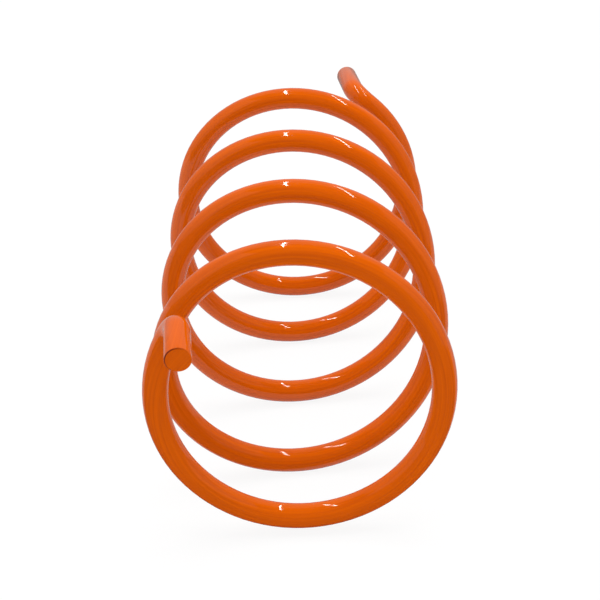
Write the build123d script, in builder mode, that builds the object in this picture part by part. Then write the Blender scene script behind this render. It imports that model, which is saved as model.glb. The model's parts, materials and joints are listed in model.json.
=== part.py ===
from build123d import *
from math import cos, radians, sin
import os

# Clutch spring: one length of painted round wire, wound left-handed into an open
# coil, with both ends bent over into short tangs that point away along the axis.
# It lies on its side, as it comes to rest: coil axis along +Y, floor at Z = 0.
# Lengths are in millimetres and angles in degrees.

wire_diameter = 5.6
mean_diameter = 63.5
body_pitch = 32.3

# The coil starts at this angle, measured from +X towards +Z about the axis,
# and turns this far in all on its way to the back end.
front_angle = 149.0
turned_angle = 1701.0

# Closing of the end turns: the share of the body pitch at the very end, the
# angle for which it is held, and the angle over which it eases to the full pitch.
front_slope, front_hold, front_blend = 0.35, 145.0, 220.0
back_slope, back_hold, back_blend = 0.15, 0.0, 360.0

# The end turns are wound tighter than the body: the radius lost at the very end, the
# angle for which that is held, and the angle over which it eases out.
front_loss, front_tight_hold, front_tight_blend = 1.15, 165.0, 270.0
back_loss, back_tight_hold, back_tight_blend = 0.2, 180.0, 590.0

# The front end springs open again over the last part of its turn.
flare_growth = 3.0
flare_angle = 92.0

# Tangs: radius of the bend on the wire's centre line, length of the straight leg,
# lean of the leg towards the axis, and how far it is bent past square.
bend_radius = 5.6
front_leg, front_lean, front_overbend = 10.5, 5.0, 0.0
back_leg, back_lean, back_overbend = 15.5, 6.5, 0.0

# The wire is cropped square and its cut edge is barely broken.
edge_round = 0.3

wire_radius = wire_diameter / 2
mean_radius = mean_diameter / 2
axis_height = mean_radius + wire_radius
point_step = 10.0


def advance(turned, slope, hold, blend):
    """Axial travel, in body pitches, of the first turned degrees from one end."""
    share = min(max((turned - hold) / blend, 0.0), 1.0)
    eased = blend * (share**3 - share**4 / 2)
    full = max(turned - hold - blend, 0.0)
    return (slope * turned + (1 - slope) * (eased + full)) / 360


def front_advance(turned):
    return body_pitch * advance(turned, front_slope, front_hold, front_blend)


def back_advance(turned):
    return body_pitch * advance(turned, back_slope, back_hold, back_blend)


def tightening(turned, loss, hold, blend):
    """Radius lost, against the body's, this many degrees from one end."""
    share = min(max((turned - hold) / blend, 0.0), 1.0)
    return loss * (1 - share**2 * (3 - 2 * share))


def coil_radius(turned):
    front_tight = tightening(turned, front_loss, front_tight_hold, front_tight_blend)
    back_tight = tightening(
        turned_angle - turned, back_loss, back_tight_hold, back_tight_blend
    )
    flare_share = max(1 - turned / flare_angle, 0.0)
    return mean_radius - front_tight - back_tight + flare_growth * flare_share**2


half_turned = turned_angle / 2
coil_length = front_advance(half_turned) + back_advance(half_turned)


def coil_point(turned):
    """Centre of the wire after it has turned this far from the front end."""
    if turned < half_turned:
        travel = front_advance(turned)
    else:
        travel = coil_length - back_advance(turned_angle - turned)
    radius = coil_radius(turned)
    angle = radians(front_angle + turned)
    height = axis_height + radius * sin(angle)
    return Vector(radius * cos(angle), travel - coil_length / 2, height)


def coil_direction(turned):
    """Unit direction of the wire towards the back end."""
    small = 0.01
    return (coil_point(turned + small) - coil_point(turned - small)).normalized()


def tang_direction(root, run, away, lean, overbend):
    """Direction of a leg that leaves the coil at root, where the wire runs along run."""
    outward = Vector(root.X, 0, root.Z - axis_height).normalized()
    onward = (run - away * run.dot(away)).normalized()
    square = away * cos(radians(overbend)) - onward * sin(radians(overbend))
    return (square * cos(radians(lean)) - outward * sin(radians(lean))).normalized()


class Tang:
    """One bent end, worked out outwards from the coil: bend, straight leg and tip."""

    def __init__(self, turned, away, leg, lean, overbend):
        self.root = coil_point(turned)
        self.run = coil_direction(turned) * (1 if turned else -1)
        self.leg_run = tang_direction(self.root, self.run, away, lean, overbend)
        bend_angle = radians(self.run.get_angle(self.leg_run))
        side = (self.leg_run - self.run * self.run.dot(self.leg_run)).normalized()
        self.bend_middle = self.around_bend(side, bend_angle / 2)
        self.bend_end = self.around_bend(side, bend_angle)
        self.tip = self.bend_end + self.leg_run * leg

    def around_bend(self, side, angle):
        return self.root + (self.run * sin(angle) + side * (1 - cos(angle))) * bend_radius


front = Tang(0.0, Vector(0, -1, 0), front_leg, front_lean, front_overbend)
back = Tang(turned_angle, Vector(0, 1, 0), back_leg, back_lean, back_overbend)

steps = round(turned_angle / point_step)
coil_points = [coil_point(turned_angle * step / steps) for step in range(steps + 1)]

with BuildLine() as centre_line:
    Line(front.tip, front.bend_end)
    ThreePointArc(front.bend_end, front.bend_middle, front.root)
    Spline(coil_points, tangents=[front.run * -1, back.run], tangent_scalars=[1, 1])
    ThreePointArc(back.root, back.bend_middle, back.bend_end)
    Line(back.bend_end, back.tip)

with BuildPart() as clutch_spring:
    with BuildSketch(Plane(origin=front.tip, z_dir=front.leg_run * -1)):
        Circle(wire_radius)
    sweep(path=centre_line.wire())
    cut_faces = clutch_spring.faces().filter_by(GeomType.PLANE)
    fillet(cut_faces.edges(), radius=edge_round)

# The origin is the point of the floor under the middle of the spring's box.
box = clutch_spring.part.bounding_box()
clutch_spring.part.position -= Vector(box.center().X, box.center().Y, box.min.Z)
clutch_spring.part.label = "clutch_spring"

os.makedirs("parts", exist_ok=True)
export_step(clutch_spring.part, "parts/clutch_spring.step")
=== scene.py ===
import json
from math import cos, pi, radians, sin

import bpy
from mathutils import Euler, Matrix, Vector

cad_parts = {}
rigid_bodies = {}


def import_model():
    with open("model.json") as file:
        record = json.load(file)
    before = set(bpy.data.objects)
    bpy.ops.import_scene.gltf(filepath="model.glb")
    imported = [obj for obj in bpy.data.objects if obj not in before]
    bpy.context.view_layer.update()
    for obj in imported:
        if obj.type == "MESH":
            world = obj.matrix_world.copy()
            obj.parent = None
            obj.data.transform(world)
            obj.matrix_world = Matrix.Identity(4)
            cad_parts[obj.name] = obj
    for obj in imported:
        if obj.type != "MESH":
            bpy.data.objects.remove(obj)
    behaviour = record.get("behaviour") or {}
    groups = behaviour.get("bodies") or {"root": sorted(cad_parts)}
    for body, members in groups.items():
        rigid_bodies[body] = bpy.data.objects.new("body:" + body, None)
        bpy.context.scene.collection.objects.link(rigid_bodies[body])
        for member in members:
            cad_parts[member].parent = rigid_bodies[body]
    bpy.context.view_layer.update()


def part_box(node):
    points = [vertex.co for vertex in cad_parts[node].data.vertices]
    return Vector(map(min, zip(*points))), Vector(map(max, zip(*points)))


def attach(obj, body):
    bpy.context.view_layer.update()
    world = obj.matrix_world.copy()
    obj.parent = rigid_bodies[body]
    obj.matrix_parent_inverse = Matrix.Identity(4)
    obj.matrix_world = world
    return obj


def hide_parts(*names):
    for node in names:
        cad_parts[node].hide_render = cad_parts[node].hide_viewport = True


bpy.ops.object.select_all(action="SELECT")
bpy.ops.object.delete()
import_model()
springLow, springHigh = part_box("clutch_spring")
springMiddle = (springLow + springHigh) / 2
floorHeight = springLow.z
bpy.ops.object.select_all(action="DESELECT")
print("frame loaded")

# the wire is wound ring by ring, from the front tang to the back one
spring = {
    "wireRadius": 0.0028,
    "coilRadius": 0.03175,
    "pitch": 0.0323,
    "startAngle": 149,  # where the coil begins, from +X towards +Z
    "turnedAngle": 1701,
    "frontClosing": (0.35, 145, 220),  # share of the pitch, degrees held, degrees eased
    "backClosing": (0.15, 0, 360),
    "frontTightening": (0.00115, 165, 270),  # radius lost, degrees held, degrees eased
    "backTightening": (0.0002, 180, 590),
    "flare": (0.003, 92),  # how far the front end springs open, over how many degrees
    "bendRadius": 0.0056,
    "frontTang": (0.0105, 5),  # leg, lean towards the coil's axis
    "backTang": (0.0155, 6.5),
    "sides": 64,
    "stepAngle": 4,
    "runAngle": 0.05,  # degrees to each side of a point, for the wire's run there
    "bendSteps": 20,
    "rimRound": 0.0003,
    "rimSteps": 4,
    "capInset": 0.3,  # share of the wire's radius
    "smoothAngle": 40,
}


def easedShare(turned, held, eased):
    return min(max((turned - held) / eased, 0), 1)


def closedTravel(turned, closing):
    # travel along the axis, counted from an end where the pitch is closed and eases open
    slope, held, eased = closing
    share = easedShare(turned, held, eased)
    easedTurn = eased * (share**3 - share**4 / 2)
    fullTurn = max(turned - held - eased, 0)
    return spring["pitch"] * (slope * turned + (1 - slope) * (easedTurn + fullTurn)) / 360


def tightening(turned, closing):
    # radius lost at an end, and eased back further along
    loss, held, eased = closing
    share = easedShare(turned, held, eased)
    return loss * (1 - share**2 * (3 - 2 * share))


def coilPoint(turned):
    # the coil's axis is Y, and the wire passes 0 on it halfway through the turns
    whole = spring["turnedAngle"]
    half = whole / 2
    if turned < half:
        travel = closedTravel(turned, spring["frontClosing"])
        travel -= closedTravel(half, spring["frontClosing"])
    else:
        travel = closedTravel(half, spring["backClosing"])
        travel -= closedTravel(whole - turned, spring["backClosing"])
    growth, flaredTurn = spring["flare"]
    radius = spring["coilRadius"] + growth * max(1 - turned / flaredTurn, 0) ** 2
    radius -= tightening(turned, spring["frontTightening"])
    radius -= tightening(whole - turned, spring["backTightening"])
    angle = radians(spring["startAngle"] + turned)
    return Vector((radius * cos(angle), travel, radius * sin(angle)))


def coilRun(turned):
    step = spring["runAngle"]
    return (coilPoint(turned + step) - coilPoint(turned - step)).normalized()


def legRun(root, away, lean):
    outward = Vector((root.x, 0, root.z)).normalized()
    return (away * cos(radians(lean)) - outward * sin(radians(lean))).normalized()


def bendAbout(root, run, leg):
    # center, axis and angle of the bend between the coil and a leg
    side = (leg - run * run.dot(leg)).normalized()
    return root + side * spring["bendRadius"], run.cross(leg).normalized(), run.angle(leg)


def turnPoint(point, center, axis, angle):
    return center + Matrix.Rotation(angle, 3, axis) @ (point - center)


def extrudeRing(offset):
    bpy.ops.mesh.extrude_region_move(TRANSFORM_OT_translate={"value": offset})


def spinRing(center, axis, angle, steps):
    # spin counts its angle the other way round the axis
    bpy.ops.mesh.spin(steps=steps, angle=-angle, center=center, axis=axis)


def windWire():
    turned = spring["turnedAngle"]
    frontLength, frontLean = spring["frontTang"]
    backLength, backLean = spring["backTang"]
    frontRoot, backRoot = coilPoint(0), coilPoint(turned)
    frontRun, backRun = -coilRun(0), coilRun(turned)
    frontLeg = legRun(frontRoot, Vector((0, -1, 0)), frontLean)
    backLeg = legRun(backRoot, Vector((0, 1, 0)), backLean)
    frontCenter, frontAxis, frontBend = bendAbout(frontRoot, frontRun, frontLeg)
    backCenter, backAxis, backBend = bendAbout(backRoot, backRun, backLeg)

    # front tang: the leg, then the bend into the coil
    legStart = turnPoint(frontRoot, frontCenter, frontAxis, frontBend)
    tip = legStart + frontLeg * frontLength
    bpy.ops.mesh.primitive_circle_add(
        vertices=spring["sides"],
        radius=spring["wireRadius"],
        location=tip,
        rotation=frontLeg.to_track_quat("Z", "Y").to_euler(),
    )
    wire = bpy.context.object
    wire.name = "spring_wire"
    bpy.ops.object.transform_apply(location=True, rotation=True, scale=True)
    bpy.ops.object.mode_set(mode="EDIT")
    bpy.ops.mesh.select_all(action="SELECT")
    extrudeRing(legStart - tip)
    spinRing(frontCenter, frontAxis, -frontBend, spring["bendSteps"])

    # the coil: each step turns the ring, then carries it along by the pitch
    steps = round(turned / spring["stepAngle"])
    at, run = frontRoot, -frontRun
    for step in range(1, steps + 1):
        nextAt, nextRun = coilPoint(turned * step / steps), coilRun(turned * step / steps)
        center, axis = Vector((0, at.y, 0)), run.cross(nextRun).normalized()
        spinRing(center, axis, run.angle(nextRun), 1)
        carried = turnPoint(at, center, axis, run.angle(nextRun))
        bpy.ops.transform.translate(value=nextAt - carried)
        at, run = nextAt, nextRun

    # back tang: the bend, then the leg
    spinRing(backCenter, backAxis, backBend, spring["bendSteps"])
    extrudeRing(backLeg * backLength)
    return wire, tip, frontLeg


def closeEnds():
    # cap both cut ends, round their rims, and inset the caps
    bpy.ops.mesh.select_all(action="DESELECT")
    bpy.ops.mesh.select_non_manifold()
    bpy.ops.mesh.fill_holes(sides=0)
    bpy.ops.mesh.select_all(action="SELECT")
    bpy.ops.mesh.normals_make_consistent(inside=False)
    bpy.ops.mesh.select_all(action="DESELECT")
    bpy.ops.mesh.select_face_by_sides(number=spring["sides"], type="EQUAL")
    bpy.ops.mesh.region_to_loop()
    bpy.ops.mesh.bevel(offset=spring["rimRound"], segments=spring["rimSteps"], profile=0.5)
    bpy.ops.mesh.select_all(action="DESELECT")
    bpy.ops.mesh.select_face_by_sides(number=spring["sides"], type="EQUAL")
    bpy.ops.mesh.inset(thickness=spring["wireRadius"] * spring["capInset"])
    bpy.ops.object.mode_set(mode="OBJECT")


def settleWire(wire):
    # lay it on the floor, its middle over the CAD spring's, and return where its axis is
    corners = [[v.co[i] for v in wire.data.vertices] for i in range(3)]
    low, high = Vector(map(min, corners)), Vector(map(max, corners))
    wire.location = springMiddle - (low + high) / 2
    wire.location.z = floorHeight - low.z
    coilAxis = wire.location.copy()
    bpy.ops.object.transform_apply(location=True, rotation=True, scale=True)
    bpy.ops.object.shade_smooth_by_angle(angle=radians(spring["smoothAngle"]))
    return coilAxis


wire, frontTip, frontLeg = windWire()
closeEnds()
coilAxis = settleWire(wire)
print("wire wound", len(wire.data.vertices), "points")


def addNode(tree, kind, **settings):
    node = tree.nodes.new(kind)
    for name, value in settings.items():
        setattr(node, name, value)
    return node


def newMaterial(name):
    material = bpy.data.materials.new(name)
    material.use_nodes = True
    tree = material.node_tree
    tree.nodes.clear()
    return material, tree, addNode(tree, "ShaderNodeOutputMaterial")


paint = {
    "orange": (0.63, 0.101, 0.0004, 1),
    "deepOrange": (0.53, 0.077, 0.0003, 1),
    "orangeRoughness": 0.04,
    "deepRoughness": 0.09,
    "specular": 0.5,
    "linesAcross": 2400,
    "linesAlong": 1.5,
    "linesApart": 45,
    "linesLevels": (0.3, 0.7),  # levels of the noise where the mask is 0 and 1
    "lineRelief": 0.25,  # depth of the lines, as a share of the peel's
    "peelSize": 500,
    "peelDepth": 0.000006,
    "noiseDetail": 2,
    "edgeShadeColor": (0.14, 0.013, 0.002, 1),  # painted shade: a dark reflection painted on the rounded edge of the cut end
    "shadeSide": (-0.9, 0, 0.45),
    "shadeDepth": (-1, -0.7),  # from the cut face, in shares of the rim's rounding
    "shadeWidth": (0.9, 0.92),  # from the wire's middle, in shares of its radius
    "shadeReach": (-0.5, 1),  # towards the thin side, in shares of the radius
}


def maskGroup(name, origin):
    # a node group that gives one mask, with places measured from an origin
    group = bpy.data.node_groups.new(name, "ShaderNodeTree")
    group.interface.new_socket("Mask", in_out="OUTPUT", socket_type="NodeSocketFloat")
    output = addNode(group, "NodeGroupOutput")
    place = addNode(group, "ShaderNodeTexCoord")
    fromOrigin = addNode(group, "ShaderNodeVectorMath", operation="SUBTRACT")
    fromOrigin.inputs[1].default_value = origin
    group.links.new(place.outputs["Object"], fromOrigin.inputs[0])
    return group, output, fromOrigin


def lengthwiseLines(coilAxis):
    # soft lines that follow the wire: noise that changes fast with the distance
    # from the coil's axis
    group, output, fromAxis = maskGroup("lengthwiseLines", coilAxis)
    flat = addNode(group, "ShaderNodeVectorMath", operation="MULTIPLY")
    flat.inputs[1].default_value = (1, 0, 1)  # leaves out the way along the axis
    group.links.new(fromAxis.outputs[0], flat.inputs[0])
    distance = addNode(group, "ShaderNodeVectorMath", operation="LENGTH")
    group.links.new(flat.outputs[0], distance.inputs[0])
    parts = addNode(group, "ShaderNodeSeparateXYZ")
    group.links.new(fromAxis.outputs[0], parts.inputs[0])
    apart = addNode(group, "ShaderNodeMath", operation="MULTIPLY")
    apart.inputs[1].default_value = paint["linesApart"]
    group.links.new(parts.outputs["Y"], apart.inputs[0])
    across = addNode(group, "ShaderNodeMath", operation="MULTIPLY_ADD")
    across.inputs[1].default_value = paint["linesAcross"]
    group.links.new(distance.outputs["Value"], across.inputs[0])
    group.links.new(apart.outputs[0], across.inputs[2])
    around = addNode(group, "ShaderNodeVectorMath", operation="NORMALIZE")
    group.links.new(flat.outputs[0], around.inputs[0])
    slow = addNode(group, "ShaderNodeVectorMath", operation="SCALE")
    slow.inputs["Scale"].default_value = paint["linesAlong"]
    group.links.new(around.outputs[0], slow.inputs[0])
    turn = addNode(group, "ShaderNodeSeparateXYZ")
    group.links.new(slow.outputs[0], turn.inputs[0])
    spot = addNode(group, "ShaderNodeCombineXYZ")
    group.links.new(turn.outputs["X"], spot.inputs["X"])
    group.links.new(across.outputs[0], spot.inputs["Y"])
    group.links.new(turn.outputs["Z"], spot.inputs["Z"])
    noise = addNode(group, "ShaderNodeTexNoise")
    noise.inputs["Scale"].default_value = 1
    noise.inputs["Detail"].default_value = paint["noiseDetail"]
    group.links.new(spot.outputs[0], noise.inputs["Vector"])
    mask = addNode(group, "ShaderNodeMapRange")
    mask.inputs["From Min"].default_value = paint["linesLevels"][0]
    mask.inputs["From Max"].default_value = paint["linesLevels"][1]
    group.links.new(noise.outputs["Fac"], mask.inputs["Value"])
    group.links.new(mask.outputs["Result"], output.inputs["Mask"])
    return group


def paintedEdgeShade(tip, run):
    # painted shade: a dark line painted on the rounded edge of the cut end, up and to the
    # left, standing in for a dark reflection there
    group, output, fromTip = maskGroup("paintedEdgeShade", tip)
    past = addNode(group, "ShaderNodeVectorMath", operation="DOT_PRODUCT")
    past.inputs[1].default_value = run
    group.links.new(fromTip.outputs[0], past.inputs[0])
    onAxis = addNode(group, "ShaderNodeVectorMath", operation="SCALE")
    onAxis.inputs[0].default_value = run
    group.links.new(past.outputs["Value"], onAxis.inputs["Scale"])
    outward = addNode(group, "ShaderNodeVectorMath", operation="SUBTRACT")
    group.links.new(fromTip.outputs[0], outward.inputs[0])
    group.links.new(onAxis.outputs[0], outward.inputs[1])
    distance = addNode(group, "ShaderNodeVectorMath", operation="LENGTH")
    group.links.new(outward.outputs[0], distance.inputs[0])
    upLeft = addNode(group, "ShaderNodeVectorMath", operation="DOT_PRODUCT")
    upLeft.inputs[1].default_value = paint["shadeSide"]
    group.links.new(outward.outputs[0], upLeft.inputs[0])
    mask = None
    for source, unit, (low, high) in (
        (past, spring["rimRound"], paint["shadeDepth"]),
        (distance, spring["wireRadius"], paint["shadeWidth"]),
        (upLeft, spring["wireRadius"], paint["shadeReach"]),
    ):
        band = addNode(group, "ShaderNodeMapRange")
        band.inputs["From Min"].default_value = unit * low
        band.inputs["From Max"].default_value = unit * high
        group.links.new(source.outputs["Value"], band.inputs["Value"])
        if mask:
            both = addNode(group, "ShaderNodeMath", operation="MULTIPLY")
            group.links.new(mask, both.inputs[0])
            group.links.new(band.outputs["Result"], both.inputs[1])
            mask = both.outputs[0]
        else:
            mask = band.outputs["Result"]
    group.links.new(mask, output.inputs["Mask"])
    return group


def orangePaint(coilAxis, tip, run):
    material, tree, output = newMaterial("glossOrangePaint")
    shader = addNode(tree, "ShaderNodeBsdfPrincipled")
    tree.links.new(shader.outputs["BSDF"], output.inputs["Surface"])
    shader.inputs["Specular IOR Level"].default_value = paint["specular"]
    lines = addNode(tree, "ShaderNodeGroup", node_tree=lengthwiseLines(coilAxis))
    shade = addNode(tree, "ShaderNodeMix", data_type="RGBA")
    shade.inputs["A"].default_value = paint["deepOrange"]
    shade.inputs["B"].default_value = paint["orange"]
    tree.links.new(lines.outputs["Mask"], shade.inputs["Factor"])
    # the dark line on the cut end's rim is painted shade, mixed into the base colour
    edgeShade = addNode(tree, "ShaderNodeGroup", node_tree=paintedEdgeShade(tip, run))
    edgeShaded = addNode(tree, "ShaderNodeMix", data_type="RGBA")
    edgeShaded.inputs["B"].default_value = paint["edgeShadeColor"]
    tree.links.new(edgeShade.outputs["Mask"], edgeShaded.inputs["Factor"])
    tree.links.new(shade.outputs["Result"], edgeShaded.inputs["A"])
    tree.links.new(edgeShaded.outputs["Result"], shader.inputs["Base Color"])
    gloss = addNode(tree, "ShaderNodeMapRange")
    gloss.inputs["To Min"].default_value = paint["deepRoughness"]
    gloss.inputs["To Max"].default_value = paint["orangeRoughness"]
    tree.links.new(lines.outputs["Mask"], gloss.inputs["Value"])
    tree.links.new(gloss.outputs["Result"], shader.inputs["Roughness"])
    place = addNode(tree, "ShaderNodeTexCoord")
    peel = addNode(tree, "ShaderNodeTexNoise")
    peel.inputs["Scale"].default_value = paint["peelSize"]
    peel.inputs["Detail"].default_value = paint["noiseDetail"]
    tree.links.new(place.outputs["Object"], peel.inputs["Vector"])
    bump = addNode(tree, "ShaderNodeBump")
    bump.inputs["Distance"].default_value = paint["peelDepth"]
    relief = addNode(tree, "ShaderNodeMath", operation="MULTIPLY_ADD")
    relief.inputs[1].default_value = paint["lineRelief"]
    tree.links.new(lines.outputs["Mask"], relief.inputs[0])
    tree.links.new(peel.outputs["Fac"], relief.inputs[2])
    tree.links.new(relief.outputs[0], bump.inputs["Height"])
    tree.links.new(bump.outputs["Normal"], shader.inputs["Normal"])
    return material


wire.data.materials.append(orangePaint(coilAxis, frontTip + coilAxis, frontLeg))
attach(wire, "root")
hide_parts("clutch_spring")
print("wire painted")

studio = {
    "white": (1, 1, 1, 1),
    "floorSize": 8,
    "floorColor": 0.8,
    "floorSeenColor": 0.08,  # dull where it is looked at, so that its shadows stay faint
    "floorGlow": 0.9,
    "worldStrength": 0.86,
    "worldSeenStrength": 1,
    "softbox": ((0, 0.1, 1.2), 0, (0.9, 0.9), 12),  # place, turn, size, power
    "strips": (  # place, turn, size
        ((-0.15, 0.10, 0.60), -7.4, (0.015, 0.5)),
        ((0.213, 0.175, 0.60), 1, (0.012, 0.65)),
    ),
    "stripGlow": 38,  # how bright a strip is, whatever its size
}


def seenDirectly(tree):
    # 1 where the camera, a reflection or a view through glass looks, 0 where light falls
    path = addNode(tree, "ShaderNodeLightPath")
    seen = path.outputs["Is Camera Ray"]
    for ray in ("Is Glossy Ray", "Is Transmission Ray"):
        either = addNode(tree, "ShaderNodeMath", operation="MAXIMUM")
        tree.links.new(seen, either.inputs[0])
        tree.links.new(path.outputs[ray], either.inputs[1])
        seen = either.outputs[0]
    return seen


def paleFloor():
    bpy.ops.mesh.primitive_plane_add(size=studio["floorSize"], location=(0, 0, floorHeight))
    floor = bpy.context.object
    floor.name = "floor"
    material, tree, output = newMaterial("paleFloor")
    seen = seenDirectly(tree)
    diffuse = addNode(tree, "ShaderNodeBsdfDiffuse")
    shade = addNode(tree, "ShaderNodeMapRange")
    shade.inputs["To Min"].default_value = studio["floorColor"]
    shade.inputs["To Max"].default_value = studio["floorSeenColor"]
    tree.links.new(seen, shade.inputs["Value"])
    tree.links.new(shade.outputs["Result"], diffuse.inputs["Color"])
    glow = addNode(tree, "ShaderNodeEmission")
    level = addNode(tree, "ShaderNodeMath", operation="MULTIPLY")
    level.inputs[1].default_value = studio["floorGlow"]
    tree.links.new(seen, level.inputs[0])
    tree.links.new(level.outputs[0], glow.inputs["Strength"])
    both = addNode(tree, "ShaderNodeAddShader")
    tree.links.new(diffuse.outputs[0], both.inputs[0])
    tree.links.new(glow.outputs[0], both.inputs[1])
    tree.links.new(both.outputs[0], output.inputs["Surface"])
    floor.data.materials.append(material)


def paleWorld():
    world = bpy.data.worlds.new("paleWorld")
    bpy.context.scene.world = world
    world.use_nodes = True
    tree = world.node_tree
    tree.nodes.clear()
    output = addNode(tree, "ShaderNodeOutputWorld")
    mix = addNode(tree, "ShaderNodeMixShader")
    tree.links.new(seenDirectly(tree), mix.inputs[0])
    for socket, strength in ((1, "worldStrength"), (2, "worldSeenStrength")):
        back = addNode(tree, "ShaderNodeBackground")
        back.inputs["Color"].default_value = studio["white"]
        back.inputs["Strength"].default_value = studio[strength]
        tree.links.new(back.outputs[0], mix.inputs[socket])
    tree.links.new(mix.outputs[0], output.inputs["Surface"])


def areaLamp(name, place, turn, size, power):
    bpy.ops.object.light_add(type="AREA", location=place, rotation=(0, 0, radians(turn)))
    lamp = bpy.context.object
    lamp.name = name
    lamp.data.shape = "RECTANGLE"
    lamp.data.size, lamp.data.size_y = size
    lamp.data.energy = power
    return lamp


def glossOnly(thing):
    thing.visible_camera = False
    thing.visible_diffuse = False
    thing.visible_transmission = False
    thing.visible_shadow = False


# plain gray cards, seen by the gloss alone: they keep the white floor and world
# out of it, which would make the paint paler
cards = {  # place, size, turn about X and Y, level
    "roof": ((0, -0.25, 1), (1.6, 1), (0, 0), 0.03),
    "roofBack": ((0, 0.575, 1), (1.6, 0.65), (0, 0), 0.3),
    "back": ((0, 0.9, 0.5), (1.6, 1), (90, 0), 0.42),
    "left": ((-0.8, 0.075, 0.5), (1, 1.65), (0, 90), 0.3),
    "right": ((0.8, 0.075, 0.5), (1, 1.65), (0, 90), 0.25),
    "front": ((0, -0.75, 0.5), (1.6, 1), (90, 0), 0.04),
    "floorFar": ((0, 0.56, 0.0001), (1.6, 0.68), (0, 0), 0.3),
    "floorNear": ((0, 0.09, 0.0001), (1.6, 0.26), (0, 0), 0.55),
    "floorFront": ((0, -0.395, 0.0001), (1.6, 0.71), (0, 0), 0.05),
}


def grayCard(name, place, size, turn, level):
    bpy.ops.mesh.primitive_plane_add(
        size=1, location=place, rotation=(radians(turn[0]), radians(turn[1]), 0)
    )
    card = bpy.context.object
    card.name = name
    card.scale = (*size, 1)
    bpy.ops.object.transform_apply(location=True, rotation=True, scale=True)
    material, tree, output = newMaterial(name)
    glow = addNode(tree, "ShaderNodeEmission")
    glow.inputs["Color"].default_value = studio["white"]
    glow.inputs["Strength"].default_value = level
    tree.links.new(glow.outputs[0], output.inputs["Surface"])
    card.data.materials.append(material)
    glossOnly(card)


paleFloor()
paleWorld()
softbox = areaLamp("topSoftbox", *studio["softbox"])
softbox.visible_glossy = False
for place, turn, size in studio["strips"]:
    power = studio["stripGlow"] * pi * size[0] * size[1]
    glossOnly(areaLamp("strip", place, turn, size, power))
for name, card in cards.items():
    grayCard(name, *card)
print("stage lit")

camera = {
    "sensor": 36,
    "lens": 85.993,
    "tilt": 62.6011,
    "turn": -0.7427,
    "fromMiddle": (-0.004338, -0.326497, 0.162189),
    "clipStart": 0.01,
}
bpy.ops.object.camera_add(location=springMiddle + Vector(camera["fromMiddle"]))
viewer = bpy.context.object
viewer.rotation_euler = Euler((radians(camera["tilt"]), 0, radians(camera["turn"])))
viewer.data.sensor_width = camera["sensor"]
viewer.data.lens = camera["lens"]
viewer.data.clip_start = camera["clipStart"]
bpy.context.scene.camera = viewer
bpy.context.scene.view_settings.view_transform = "Standard"
print("camera set")
